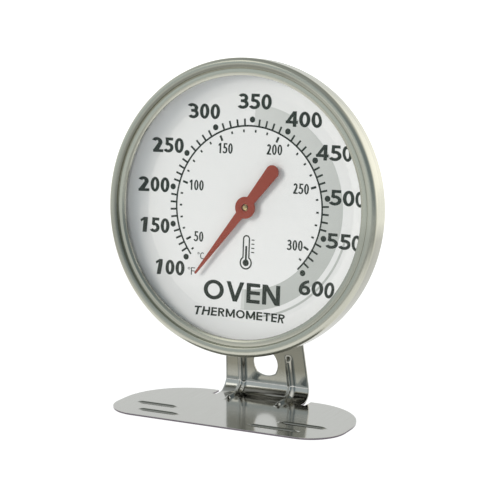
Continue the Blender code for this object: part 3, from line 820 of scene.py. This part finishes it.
def glyph(letter, w, a, b):
    """Strokes of a character 1 high and w wide; a and b are half its stem and its level stroke."""
    stem = post(a, 0.0, a, 1.0, a)
    far_stem = post(w - a, 0.0, w - a, 1.0, a)
    top = beam(0.0, w, 1.0 - b, b)
    middle = beam(0.0, w, 0.52, b)
    bottom = beam(0.0, w, b, b)
    left = 0.60 * w - a
    flag = [(left + 0.02, 1.0), (0.14 * w, 0.84), (0.22 * w, 0.68), (left + 0.02, 0.80)]
    crown = bow((0.46 * w, 0.70), (0.48 * w, 0.30), 158, -28, a, b)
    strokes = {
        "0": bow((w / 2, 0.5), (w / 2, 0.5), 0, 360, a, b),
        "1": [post(0.60 * w, 0.0, 0.60 * w, 1.0, a), flag],
        "2": [*crown, [(0.0, 1.3 * b), (2.7 * a, 1.3 * b), crown[-1][1], crown[-1][2]], bottom],
        "3": [
            *bow((0.43 * w, 0.76 - b / 2), (0.50 * w, 0.24 + b / 2), 150, -90, a, b),
            *bow((0.42 * w, 0.26 + b / 2), (0.58 * w, 0.26 + b / 2), 90, -150, a, b),
            beam(0.22 * w, 0.46 * w, 0.52, b)],
        "4": [
            post(a, 0.30, 0.74 * w, 1.0, a),
            post(0.74 * w, 0.0, 0.74 * w, 1.0, a),
            beam(0.0, w, 0.30, b)],
        "5": [
            *bow((0.42 * w, 0.33), (0.58 * w, 0.33), 124, -150, a, b),
            post(0.10 * w + a, 0.50, 0.14 * w + a, 1.0, 0.9 * a),
            beam(0.14 * w, 0.94 * w, 1.0 - b, b)],
        "6": [
            *bow((w / 2, 0.325), (w / 2, 0.325), 0, 360, a, b),
            *bow((0.90 * w, 0.34), (0.90 * w, 0.66), 92, 182, a, b)],
        "C": bow((0.54 * w, 0.5), (0.54 * w, 0.5), 48, 312, a, b),
        "E": [stem, top, middle, bottom],
        "F": [stem, top, middle],
        "H": [stem, far_stem, middle],
        "M": [
            stem, far_stem,
            post(1.1 * a, 1.0, w / 2, 0.1, a),
            post(w - 1.1 * a, 1.0, w / 2, 0.1, a)],
        "N": [stem, far_stem, post(1.2 * a, 1.0, w - 1.2 * a, 0.0, 1.2 * a)],
        "R": [
            stem,
            *bow((0.45 * w, 0.72), (0.52 * w, 0.28), 90, -90, a, b),
            beam(a, 0.46 * w, 1.0 - b, b),
            beam(a, 0.46 * w, 0.44 + b, b),
            post(0.48 * w, 0.5, w - a, 0.0, 1.05 * a)],
        "T": [top, post(w / 2, 0.0, w / 2, 1.0, a)],
        "V": [post(1.1 * a, 1.0, w / 2, 0.0, a), post(w - 1.1 * a, 1.0, w / 2, 0.0, a)],
        "°": bow((w / 2, 0.84), (w / 2, 0.16), 0, 360, 0.6 * a, 0.6 * b),
    }
    return strokes["0" if letter == "O" else letter]


def write(body, place, height, width, stem, level, spacing=0.085):
    """Characters drawn with strokes, centred on place, as polygons in mm.

    stem and level are the widths of the upright and the level strokes, as parts of the height.
    """
    widths = [LETTER_WIDTHS.get(letter, 1.0) for letter in body]
    natural = sum(widths)
    digit = (width / height - spacing * (len(body) - 1)) / natural
    polygons = []
    pen = 0.0
    for letter, part in zip(body, widths):
        for polygon in glyph(letter, part * digit, stem / 2, level / 2):
            polygons.append([
                (place[0] - width / 2 + (pen + x) * height, place[1] + (y - 0.5) * height)
                for x, y in polygon])
        pen += part * digit + spacing
    return polygons


def joined_flat(polygons, rings=()):
    """Flat union of overlapping polygons, in mm, cut along rings of the given radii."""
    points = []
    faces = []
    for polygon in polygons:
        area = sum(x0 * y1 - x1 * y0 for (x0, y0), (x1, y1) in zip(polygon, polygon[1:] + polygon[:1]))
        faces.append(list(range(len(points), len(points) + len(polygon))))
        points.extend(polygon if area > 0.0 else polygon[::-1])
    edges = []
    for radius in rings:
        first = len(points)
        points.extend(arc((0.0, 0.0), radius, 0.0, 360.0, ROUND_STEPS)[:-1])
        edges.extend((first + index, first + (index + 1) % ROUND_STEPS) for index in range(ROUND_STEPS))
    places = [Vector(point) for point in points]
    spots, _, triangles, _, _, owners = delaunay_2d_cdt(places, edges, faces, 0, 1e-5)
    bm = bmesh.new()
    verts = flat_verts(bm, spots)
    for triangle, owner in zip(triangles, owners):
        if owner:
            bm.faces.new([verts[index] for index in triangle])
    drop_loose(bm)
    return bm


def drop_loose(bm):
    """Removes the points that no face uses."""
    loose = [vert for vert in bm.verts if not vert.link_faces]
    bmesh.ops.delete(bm, geom=loose, context="VERTS")


def merged(parts):
    """One bmesh from several."""
    whole = bmesh.new()
    for part in parts:
        mesh = bpy.data.meshes.new("part")
        part.to_mesh(mesh)
        part.free()
        whole.from_mesh(mesh)
        bpy.data.meshes.remove(mesh)
    return whole


def flat_verts(bm, points):
    return [bm.verts.new((x * MM, y * MM, 0.0)) for x, y in points]


def flat_shape(points):
    bm = bmesh.new()
    bm.faces.new(flat_verts(bm, points))
    return bm


def strip(inner, outer, closed=False):
    """A flat strip of quads between two lines with as many points each."""
    bm = bmesh.new()
    pairs = list(zip(flat_verts(bm, inner), flat_verts(bm, outer)))
    followers = pairs[1:] + pairs[:1] if closed else pairs[1:]
    for (near, far), (next_near, next_far) in zip(pairs, followers):
        bm.faces.new((near, far, next_far, next_near))
    return bm


def ring_part(inner, outer, start, end, count):
    """A stretch of a flat ring between two angles in degrees."""
    return strip(*(arc((0.0, 0.0), radius, start, end, count) for radius in (inner, outer)))


def radial_tick(angle, inner, outer, width):
    """A thin bar along a radius."""
    turn = Matrix.Rotation(math.radians(angle), 2)
    half = width / 2
    corners = ((inner, -half), (outer, -half), (outer, half), (inner, half))
    return flat_shape([tuple(turn @ Vector(corner)) for corner in corners])


def scale_angle(fahrenheit):
    """Angle of a temperature on the scale, between its two neighbouring dots."""
    low = FAHRENHEIT[0]
    high = FAHRENHEIT[1]
    for first, second in zip(FAHRENHEIT, FAHRENHEIT[1:]):
        if first[0] <= fahrenheit:
            low, high = first, second
    part = (fahrenheit - low[0]) / (high[0] - low[0])
    return low[1] + (high[1] - low[1]) * part


def make_numbers(ink):
    outer = []
    for value, _, place in FAHRENHEIT:
        width = FAHRENHEIT_WIDTH + 0.028 * place[0] + (0.4 if str(value)[0] in "46" else 0.0)
        outer += write(str(value), place, FAHRENHEIT_HEIGHT, width, *FAHRENHEIT_STROKES)
    lay_ink("numbers_fahrenheit", joined_flat(outer, DIAL_RINGS), ink)
    inner = []
    for value, place in CELSIUS:
        width = 4.7 if value > 99 else 3.0
        inner += write(str(value), place, CELSIUS_HEIGHT, width, *CELSIUS_STROKES)
    for unit in UNITS:
        inner += write(*unit)
    lay_ink("numbers_celsius", joined_flat(inner), ink)


def make_scale(ink):
    start = FAHRENHEIT[0][1] + 0.6
    end = FAHRENHEIT[-1][1] - 1.2
    half = ARC_WIDTH / 2
    lines = [ring_part(ARC_RADIUS - half, ARC_RADIUS + half, start, end, 200)]
    for degrees in range(110, 600, 10):
        if degrees % 50:
            lines.append(radial_tick(scale_angle(degrees), *FAHRENHEIT_TICK))
    for celsius in range(40, 320, 10):
        tick = CELSIUS_TICK if celsius % 50 else LONG_CELSIUS_TICK
        lines.append(radial_tick(scale_angle(celsius * 9 / 5 + 32), *tick))
    lay_ink("scale_lines", merged(lines), ink)
    dots = []
    for _, angle, _ in FAHRENHEIT:
        center = arc((0.0, 0.0), DOT_RADIUS, angle, angle, 1)[0]
        dots.append(flat_shape(arc(center, DOT_SIZE, 0.0, 350.0, 35)))
    lay_ink("scale_dots", merged(dots), ink)


def make_words(ink):
    polygons = [polygon for word in WORDS for polygon in write(*word)]
    lay_ink("dial_words", joined_flat(polygons, DIAL_RINGS), ink)


def make_sign(ink):
    """A small plain picture of a stem thermometer below the pointer's axis."""
    bulb = (0.0, SIGN_BULB)
    stem = (0.0, SIGN_STEM)
    outside = arc(stem, 1.1, 0.0, 180.0, 12) + arc(bulb, 1.9, 125.0, 415.0, 28)
    inside = arc(stem, 0.72, 0.0, 180.0, 12) + arc(bulb, 1.5, 119.0, 421.0, 28)
    column = [(0.28, SIGN_STEM - 2.0), (-0.28, SIGN_STEM - 2.0)] + arc(bulb, 0.95, 107.0, 433.0, 24)
    parts = [strip(inside, outside, True), flat_shape(column)]
    for step in range(4):
        parts.append(flat_shape(beam(1.6, 2.5, SIGN_STEM - 0.2 - 1.15 * step, 0.14)))
    lay_ink("dial_sign", merged(parts), ink)


def make_band(ink):
    # The band is print; the thin arc beyond it is painted shadow in the band's grey
    lay_ink("dial_band_and_painted_shadow", merged([ring_part(*BAND), ring_part(*PAINTED_SHADOW_LINE)]), ink, BAND_HEIGHT)


# ---- pointer

def pointer_outline():
    shoulder = 24.0
    tip = arc((TIP_REACH - TIP_RADIUS, 0.0), TIP_RADIUS, -80.0, 80.0, 8)
    upper = arc((0.0, 0.0), HUB_DISC, shoulder, 177.0 - shoulder, 30)
    tail = arc((-TAIL_REACH + TAIL_END_RADIUS, 0.0), TAIL_END_RADIUS, 96.0, 264.0, 24)
    lower = arc((0.0, 0.0), HUB_DISC, 183.0 + shoulder, 360.0 - shoulder, 30)
    return tip + upper + tail + lower


def add_loop(curve, points):
    spline = curve.splines.new("POLY")
    spline.points.add(len(points) - 1)
    for point, (x, y) in zip(spline.points, points):
        point.co = (x * MM, y * MM, 0.0, 1.0)
    spline.use_cyclic_u = True


def make_pointer(material):
    """The pointer's sheet, with softly rounded edges, pierced for its boss."""
    curve = bpy.data.curves.new("pointer_sheet", "CURVE")
    curve.dimensions = "2D"
    curve.fill_mode = "BOTH"
    curve.extrude = (POINTER_SHEET / 2 - POINTER_ROUNDING) * MM
    curve.bevel_depth = POINTER_ROUNDING * MM
    curve.offset = -POINTER_ROUNDING * MM
    curve.bevel_resolution = 2
    add_loop(curve, pointer_outline())
    add_loop(curve, arc((0.0, 0.0), HUB_HOLE, 0.0, 350.0, 35))
    drawing = add_object("pointer_sheet", curve)
    bm = bmesh.new()
    bm.from_mesh(final_mesh(drawing))
    bpy.data.objects.remove(drawing, do_unlink=True)
    bmesh.ops.remove_doubles(bm, verts=bm.verts[:], dist=1e-7)
    middle = Matrix.Translation((0.0, 0.0, (POINTER_FRONT - POINTER_SHEET / 2) * MM))
    bm.transform(middle @ Matrix.Rotation(math.radians(POINTER_REST), 4, "Z"))
    piece = object_from("pointer_sheet", bm, material, HEAD)
    keep(piece, "pointer_paint", "pointer", body="pointer")


def make_hub(material):
    """Brass boss: a domed end in the middle of the pointer, riveted over, and its skirt behind."""
    under = POINTER_FRONT - POINTER_SHEET - GAP
    corners = [
        (0.0, POINTER_FRONT + 0.28, 0.0),
        (0.45, POINTER_FRONT + 0.27, 0.3),
        (0.75, POINTER_FRONT + 0.02, 0.12),
        (0.75, under, 0.0),
        (2.0, under, 0.1),
        (2.0, under - 0.4, 0.1),
        (1.6, under - 0.4, 0.0),
        (1.6, -0.6, 0.1),
        (0.9, -0.6, 0.0),
        (0.9, under - 0.25, 0.0),
        (0.0, under - 0.25, 0.0),
    ]
    piece = turned("pointer_boss", filleted(corners, 4), material, steps=SMALL_ROUND_STEPS)
    keep(piece, "brass", "pointer_hub", body="pointer")


# ---- stand

def side_path():
    """Rows up the sheet seen from the side: its inner surface as (y, z), normal and length.

    The length is measured along the sheet from the sharp corner below the bend, and is negative on
    the base.
    """
    lean = math.radians(UPRIGHT_LEAN)
    tilt = math.radians(LEAN_BACK)
    turn = 90.0 + UPRIGHT_LEAN
    setback = BEND_RADIUS * math.tan(math.radians(turn / 2))
    corner = Vector((UPRIGHT_FOOT, SHEET))
    rise = Vector((-math.sin(lean), math.cos(lean)))
    back = Vector((math.cos(tilt), -math.sin(tilt)))
    up = Vector((math.sin(tilt), math.cos(tilt)))
    head = Vector((DIAL_Y, DIAL_Z))
    case_gap = GAP - CASE_BACK
    reach = (case_gap - (corner - head).dot(back)) / rise.dot(back)
    knee_turn = UPRIGHT_LEAN + LEAN_BACK
    knee = KNEE_RADIUS * math.tan(math.radians(knee_turn / 2))
    rows = [(Vector((y, SHEET)), Vector((0.0, 1.0)), y - UPRIGHT_FOOT) for y in base_rows()]
    bend_center = Vector((UPRIGHT_FOOT - setback, SHEET + BEND_RADIUS))
    for step in range(BEND_STEPS + 1):
        angle = math.radians(turn * step / BEND_STEPS)
        outward = Vector((math.sin(angle), -math.cos(angle)))
        length = -setback + (2 * setback) * step / BEND_STEPS
        rows.append((bend_center + outward * BEND_RADIUS, -outward, length))
    face = Vector((-math.cos(lean), -math.sin(lean)))
    for height in spread(setback, reach - knee, ROW_STEP)[1:]:
        rows.append((corner + rise * height, face, height))
    knee_point = corner + rise * reach
    knee_start = knee_point - rise * knee
    knee_center = knee_start - face * KNEE_RADIUS
    for step in range(1, KNEE_STEPS + 1):
        angle = math.radians(knee_turn * step / KNEE_STEPS)
        spun = Matrix.Rotation(-angle, 2) @ face
        rows.append((knee_center + spun * KNEE_RADIUS, spun, reach - knee + KNEE_RADIUS * angle))
    flat_start = (knee_point - head).dot(up) + knee
    knee_length = rows[-1][2]
    heights = spread(flat_start, UPRIGHT_TOP - TOP_CORNER, 1.6)[1:]
    for angle in range(10, 91, 8):
        heights.append(UPRIGHT_TOP - TOP_CORNER + TOP_CORNER * math.sin(math.radians(angle)))
    for height in heights:
        rows.append((head + back * case_gap + up * height, -back, knee_length + height - flat_start))
    return rows


def base_rows():
    """Places y of the rows across the base, closest together over the beads."""
    (low, high), (next_low, next_high) = BEAD_ROWS
    gap = 0.4
    corner = arc((0.0, BASE_FRONT + FRONT_CORNER), FRONT_CORNER, -90.0, -32.0, 10)
    rows = [y for _, y in corner if y < low - gap / 2]
    rows += spread(low, high, BEAD_STEP) + spread(next_low, next_high, BEAD_STEP)
    rows += spread(high + gap, next_low - gap, 0.5)
    rows += spread(next_high + gap, BASE_BACK - NOTCH_DEPTH, ROW_STEP)
    return sorted(rows)


def base_half_width(y):
    """Half the width of the base at y, with its four rounded corners."""
    front = y - (BASE_FRONT + FRONT_CORNER)
    rear = y - (BASE_BACK - REAR_CORNER)
    if front < 0.0:
        return BASE_HALF_WIDTH - FRONT_CORNER + math.sqrt(max(FRONT_CORNER ** 2 - front ** 2, 0.0))
    if rear > 0.0:
        return BASE_HALF_WIDTH - REAR_CORNER + math.sqrt(max(REAR_CORNER ** 2 - rear ** 2, 0.0))
    return BASE_HALF_WIDTH


def wing_rows():
    """Places y of the rows beside the bend, where the wings of the base end."""
    center = BASE_BACK - REAR_CORNER
    low = math.degrees(math.asin((BASE_BACK - NOTCH_DEPTH - center) / REAR_CORNER))
    return [y for _, y in arc((0.0, center), REAR_CORNER, low, 90.0, BEND_STEPS)][1:]


def rib_lift(part, length):
    """Height of the two stiffening ribs at a place across and along the tongue."""
    away = abs(abs(part) - RIB_PLACE) / RIB_SPREAD
    if away >= 1.0:
        return 0.0
    start = RIB_FRONT - UPRIGHT_FOOT
    along = smooth_step((length - start) / RIB_RUNOUT) * smooth_step((RIB_TOP - length) / RIB_RUNOUT)
    return RIB_HEIGHT * along * (0.5 + 0.5 * math.cos(math.pi * away))


def bead_lift(x, y):
    """Height of the pressed beads in the base at a place on it."""
    lift = 0.0
    for center_x, center_y, length in BEADS:
        away = abs(y - center_y) / BEAD_HALF_WIDTH
        if away < 1.0:
            end = smooth_step((length / 2 - abs(x - center_x)) / BEAD_RAMP)
            lift = max(lift, BEAD_HEIGHT * end * (1.0 - away * away) ** 1.2)
    return lift


def tongue_half_width(length, top):
    half = FOOT_HALF_WIDTH - TAPER * max(length, 0.0)
    if top < TOP_CORNER:
        half -= TOP_CORNER - math.sqrt(max(TOP_CORNER ** 2 - (TOP_CORNER - top) ** 2, 0.0))
    return half


def tongue_columns():
    """Places across the tongue, as parts of its half width, closest together over the ribs."""
    low = RIB_PLACE - RIB_SPREAD
    high = RIB_PLACE + RIB_SPREAD
    half = spread(0.0, low, 0.035) + spread(low, high, 0.0125)[1:] + spread(high, 1.0, 0.04)[1:]
    return [-part for part in reversed(half[1:])] + half


def round_hole(across, along):
    """Moves a point of the upright's grid so that the grid opens into the round hole.

    across and along are measured from the hole's centre. The square patch round the hole keeps its
    outer border, and its inner square becomes the hole's circle.
    """
    square = max(abs(across), abs(along))
    if square >= HOLE_PATCH:
        return across, along
    direction = Vector((across, along)).normalized()
    border = HOLE_PATCH / max(abs(direction.x), abs(direction.y))
    part = (square / HOLE_PATCH - HOLE_PART) / (1.0 - HOLE_PART)
    spot = HOLE_RADIUS + (border - HOLE_RADIUS) * part
    return direction.x * spot, direction.y * spot


def make_stand(material):
    """The folded sheet: a fine grid laid along its side path, doubled for its thickness."""
    rows = side_path()
    total = rows[-1][2]
    tongue = tongue_columns()
    middle = len(tongue) // 2
    whole = len(base_rows())
    wing_places = base_rows() + wing_rows()
    wings = spread(0.0, 1.0, WING_STEP)
    notch = FOOT_HALF_WIDTH + NOTCH_WIDTH
    bm = bmesh.new()
    spots = {}

    def spot(row, column, x, y, z, normal, lift):
        """Adds the upper and lower points of the sheet at a place on its grid."""
        up = Vector((0.0, normal.x, normal.y))
        here = Vector((x, y, z))
        top = bm.verts.new((here + up * lift) * MM)
        low = bm.verts.new((here + up * (lift * 0.9 - SHEET)) * MM)
        spots[row, column] = (top, low)

    for row, (place, normal, length) in enumerate(rows):
        half = tongue_half_width(length, total - length)
        along = length - HOLE_HEIGHT
        tangent = Vector((-normal.y, normal.x))
        if tangent.y < 0.0:
            tangent = -tangent
        for index, part in enumerate(tongue):
            across = part * half
            if max(abs(across), abs(along)) < HOLE_PATCH * HOLE_PART - 1e-6:
                continue
            x, shifted = round_hole(across, along)
            here = place + tangent * (shifted - along)
            lift = rib_lift(part, length)
            if row < whole:
                lift += bead_lift(across, place.x)
            spot(row, index - middle, x, here.x, here.y, normal, lift)
        if row >= len(wing_places):
            continue
        y = wing_places[row]
        reach = base_half_width(y) - notch
        for index, part in enumerate(wings):
            for sign in (-1, 1):
                x = sign * (notch + part * reach)
                column = sign * (middle + 1 + index)
                spot(row, column, x, y, SHEET, Vector((0.0, 1.0)), bead_lift(x, y))

    for row, column in list(spots):
        corners = ((row, column), (row, column + 1), (row + 1, column + 1), (row + 1, column))
        in_notch = row >= whole - 1 and column in (middle, -middle - 1)
        if in_notch or not all(corner in spots for corner in corners):
            continue
        bm.faces.new([spots[corner][0] for corner in corners])
        bm.faces.new([spots[corner][1] for corner in reversed(corners)])
    under = dict(spots.values())
    for side in list(bm.edges):
        if len(side.link_faces) == 1 and all(vert in under for vert in side.verts):
            loop = side.link_loops[0]
            start = loop.vert
            end = loop.link_loop_next.vert
            bm.faces.new((end, start, under[start], under[end]))
    drop_loose(bm)
    piece = object_from("stand_sheet", bm, material)
    add_modifier(piece, "BEVEL", width=EDGE_ROUNDING * MM, segments=2,
                 limit_method="ANGLE", angle_limit=math.radians(60.0))
    apply_modifiers(piece)
    keep(piece, "stand_steel", "stand")


# ---- rivets

def rivet(kind, side, shank, near, near_head, far, far_head, place, material):
    """A rivet along the dial's axis: flat head at near, domed head whose underside is at far.

    Each head is given as its radius and its height.
    """
    near_radius, near_height = near_head
    far_radius, far_height = far_head
    corners = [
        (0.0, near + near_height, 0.0),
        (near_radius, near + near_height, 0.18),
        (near_radius, near, 0.0),
        (shank, near, 0.0),
        (shank, far, 0.0),
        (far_radius, far, 0.0),
        (far_radius, far - far_height * 0.25, 0.15),
    ]
    dome = [(x * far_radius, far + far_height * (0.7 * z - 0.3))
            for x, z in arc((0.0, 0.0), 1.0, 0.0, -90.0, 10)]
    matrix = HEAD @ Matrix.Translation((place[0] * MM, place[1] * MM, 0.0))
    profile = filleted(corners, 4)[:-1] + dome
    piece = turned(f"rivet_{kind}_{side}", profile, material, steps=SMALL_ROUND_STEPS, matrix=matrix)
    keep(piece, "rivet_steel", f"{kind}_rivet_{side}")


def make_rivets(material):
    inside = CASE_BACK + CASE_SHEET + GAP
    outside = CASE_BACK - GAP
    behind = outside - SHEET - GAP
    bridge = inside + BRIDGE_FOOT + GAP
    for side, y in zip(("lower", "upper"), STAND_RIVETS):
        rivet("stand", side, STAND_RIVET_RADIUS, inside, (2.8, 0.6), behind, (2.6, 0.9),
              (0.0, y), material)
    for side, x in (("left", -BRIDGE_RIVET_X), ("right", BRIDGE_RIVET_X)):
        rivet("bridge", side, BRIDGE_RIVET_RADIUS, bridge, (1.8, 0.6), outside, (1.8, 0.7),
              (x, 0.0), material)


# ---- CAD nodes that stay

def finish_node(node, material):
    """Gives a CAD piece that stays its material."""
    materials = frame["nodes"][node].data.materials
    materials.clear()
    materials.append(material)


# ---- camera, floor and light

def make_camera():
    turn = math.radians(CAMERA_TURN)
    back = camera_back()
    right = Vector((math.cos(turn), math.sin(turn), 0.0))
    data = bpy.data.cameras.new("camera")
    data.lens = LENS_LENGTH
    data.sensor_width = SENSOR_WIDTH
    data.clip_start = 0.01
    camera = add_object("camera", data)
    turn_to = Matrix((right, back.cross(right), back)).transposed().to_4x4()
    camera.matrix_world = Matrix.Translation(camera_place()) @ turn_to
    bpy.context.scene.camera = camera


def make_floor(material):
    bm = bmesh.new()
    bmesh.ops.create_circle(bm, cap_ends=True, segments=96, radius=FLOOR_RADIUS)
    floor = object_from("floor", bm, material)
    floor.location.z = cad_low.z - 0.1 * MM


def make_key_light():
    """A square soft box that faces the dial's centre and isn't mirrored in the metal."""
    data = bpy.data.lights.new("key", "AREA")
    data.size = KEY_SIZE
    data.energy = KEY_POWER
    data.color = KEY_COLOR
    light = add_object("key", data)
    towards = Vector(KEY_WAY).normalized()
    light.location = DIAL_CENTRE + towards * KEY_DISTANCE
    light.rotation_euler = towards.to_track_quat("Z", "Y").to_euler()
    light.visible_glossy = False


def make_world():
    """A pale studio: bright behind and above the object, dimmer on the side the dial faces."""
    scene = bpy.context.scene
    scene.world = bpy.data.worlds.new("studio")
    scene.world.use_nodes = True
    tree = scene.world.node_tree
    way = add_node(tree, "TexCoord", {}).outputs["Generated"]
    x, y, z = split(way)
    front = mixed(ramp(x, -0.35, 0.1), FRONT_LEFT_SKY, FRONT_RIGHT_SKY)
    back = mixed(ramp(x, -0.1, 0.3), BACK_LEFT_SKY, BACK_RIGHT_SKY)
    low = mixed(ramp(y, -0.5, 0.3), front, back)
    sky = mixed(ramp(z, 0.5, 0.88), low, HIGH_SKY)
    values = {0: way, 1: Vector(GLOW_WAY).normalized()}
    near = output_of("VectorMath", "Value", values, operation="DOT_PRODUCT")
    color = mixed(ramp(near, 0.982, 0.994), sky, GLOW_SKY)
    feed(tree.nodes["Background"], {"Color": color, "Strength": 1.0})
    scene.view_settings.view_transform = "Standard"
    scene.view_settings.look = "None"


# ---- all of it

def main():
    make_camera()
    make_stand(brushed_sheet())
    make_bezel(spun_steel("bezel_steel", *BEZEL_LOOK))
    make_case(spun_steel("case_steel", *CASE_LOOK))
    make_dial(white_enamel())
    make_band(band_ink())
    ink = black_ink()
    make_scale(ink)
    make_numbers(ink)
    make_words(ink)
    make_sign(ink)
    make_pointer(red_paint())
    metals = {name: plain_metal(name, *look) for name, look in METALS.items()}
    make_hub(metals["brass"])
    make_rivets(metals["rivet_steel"])
    finish_node("lens", clear_glass())
    finish_node("case_seal", pressed_fibre())
    for node, metal in NODE_METALS.items():
        finish_node(node, metals[metal])
    make_floor(pale_floor())
    make_world()
    make_key_light()


main()
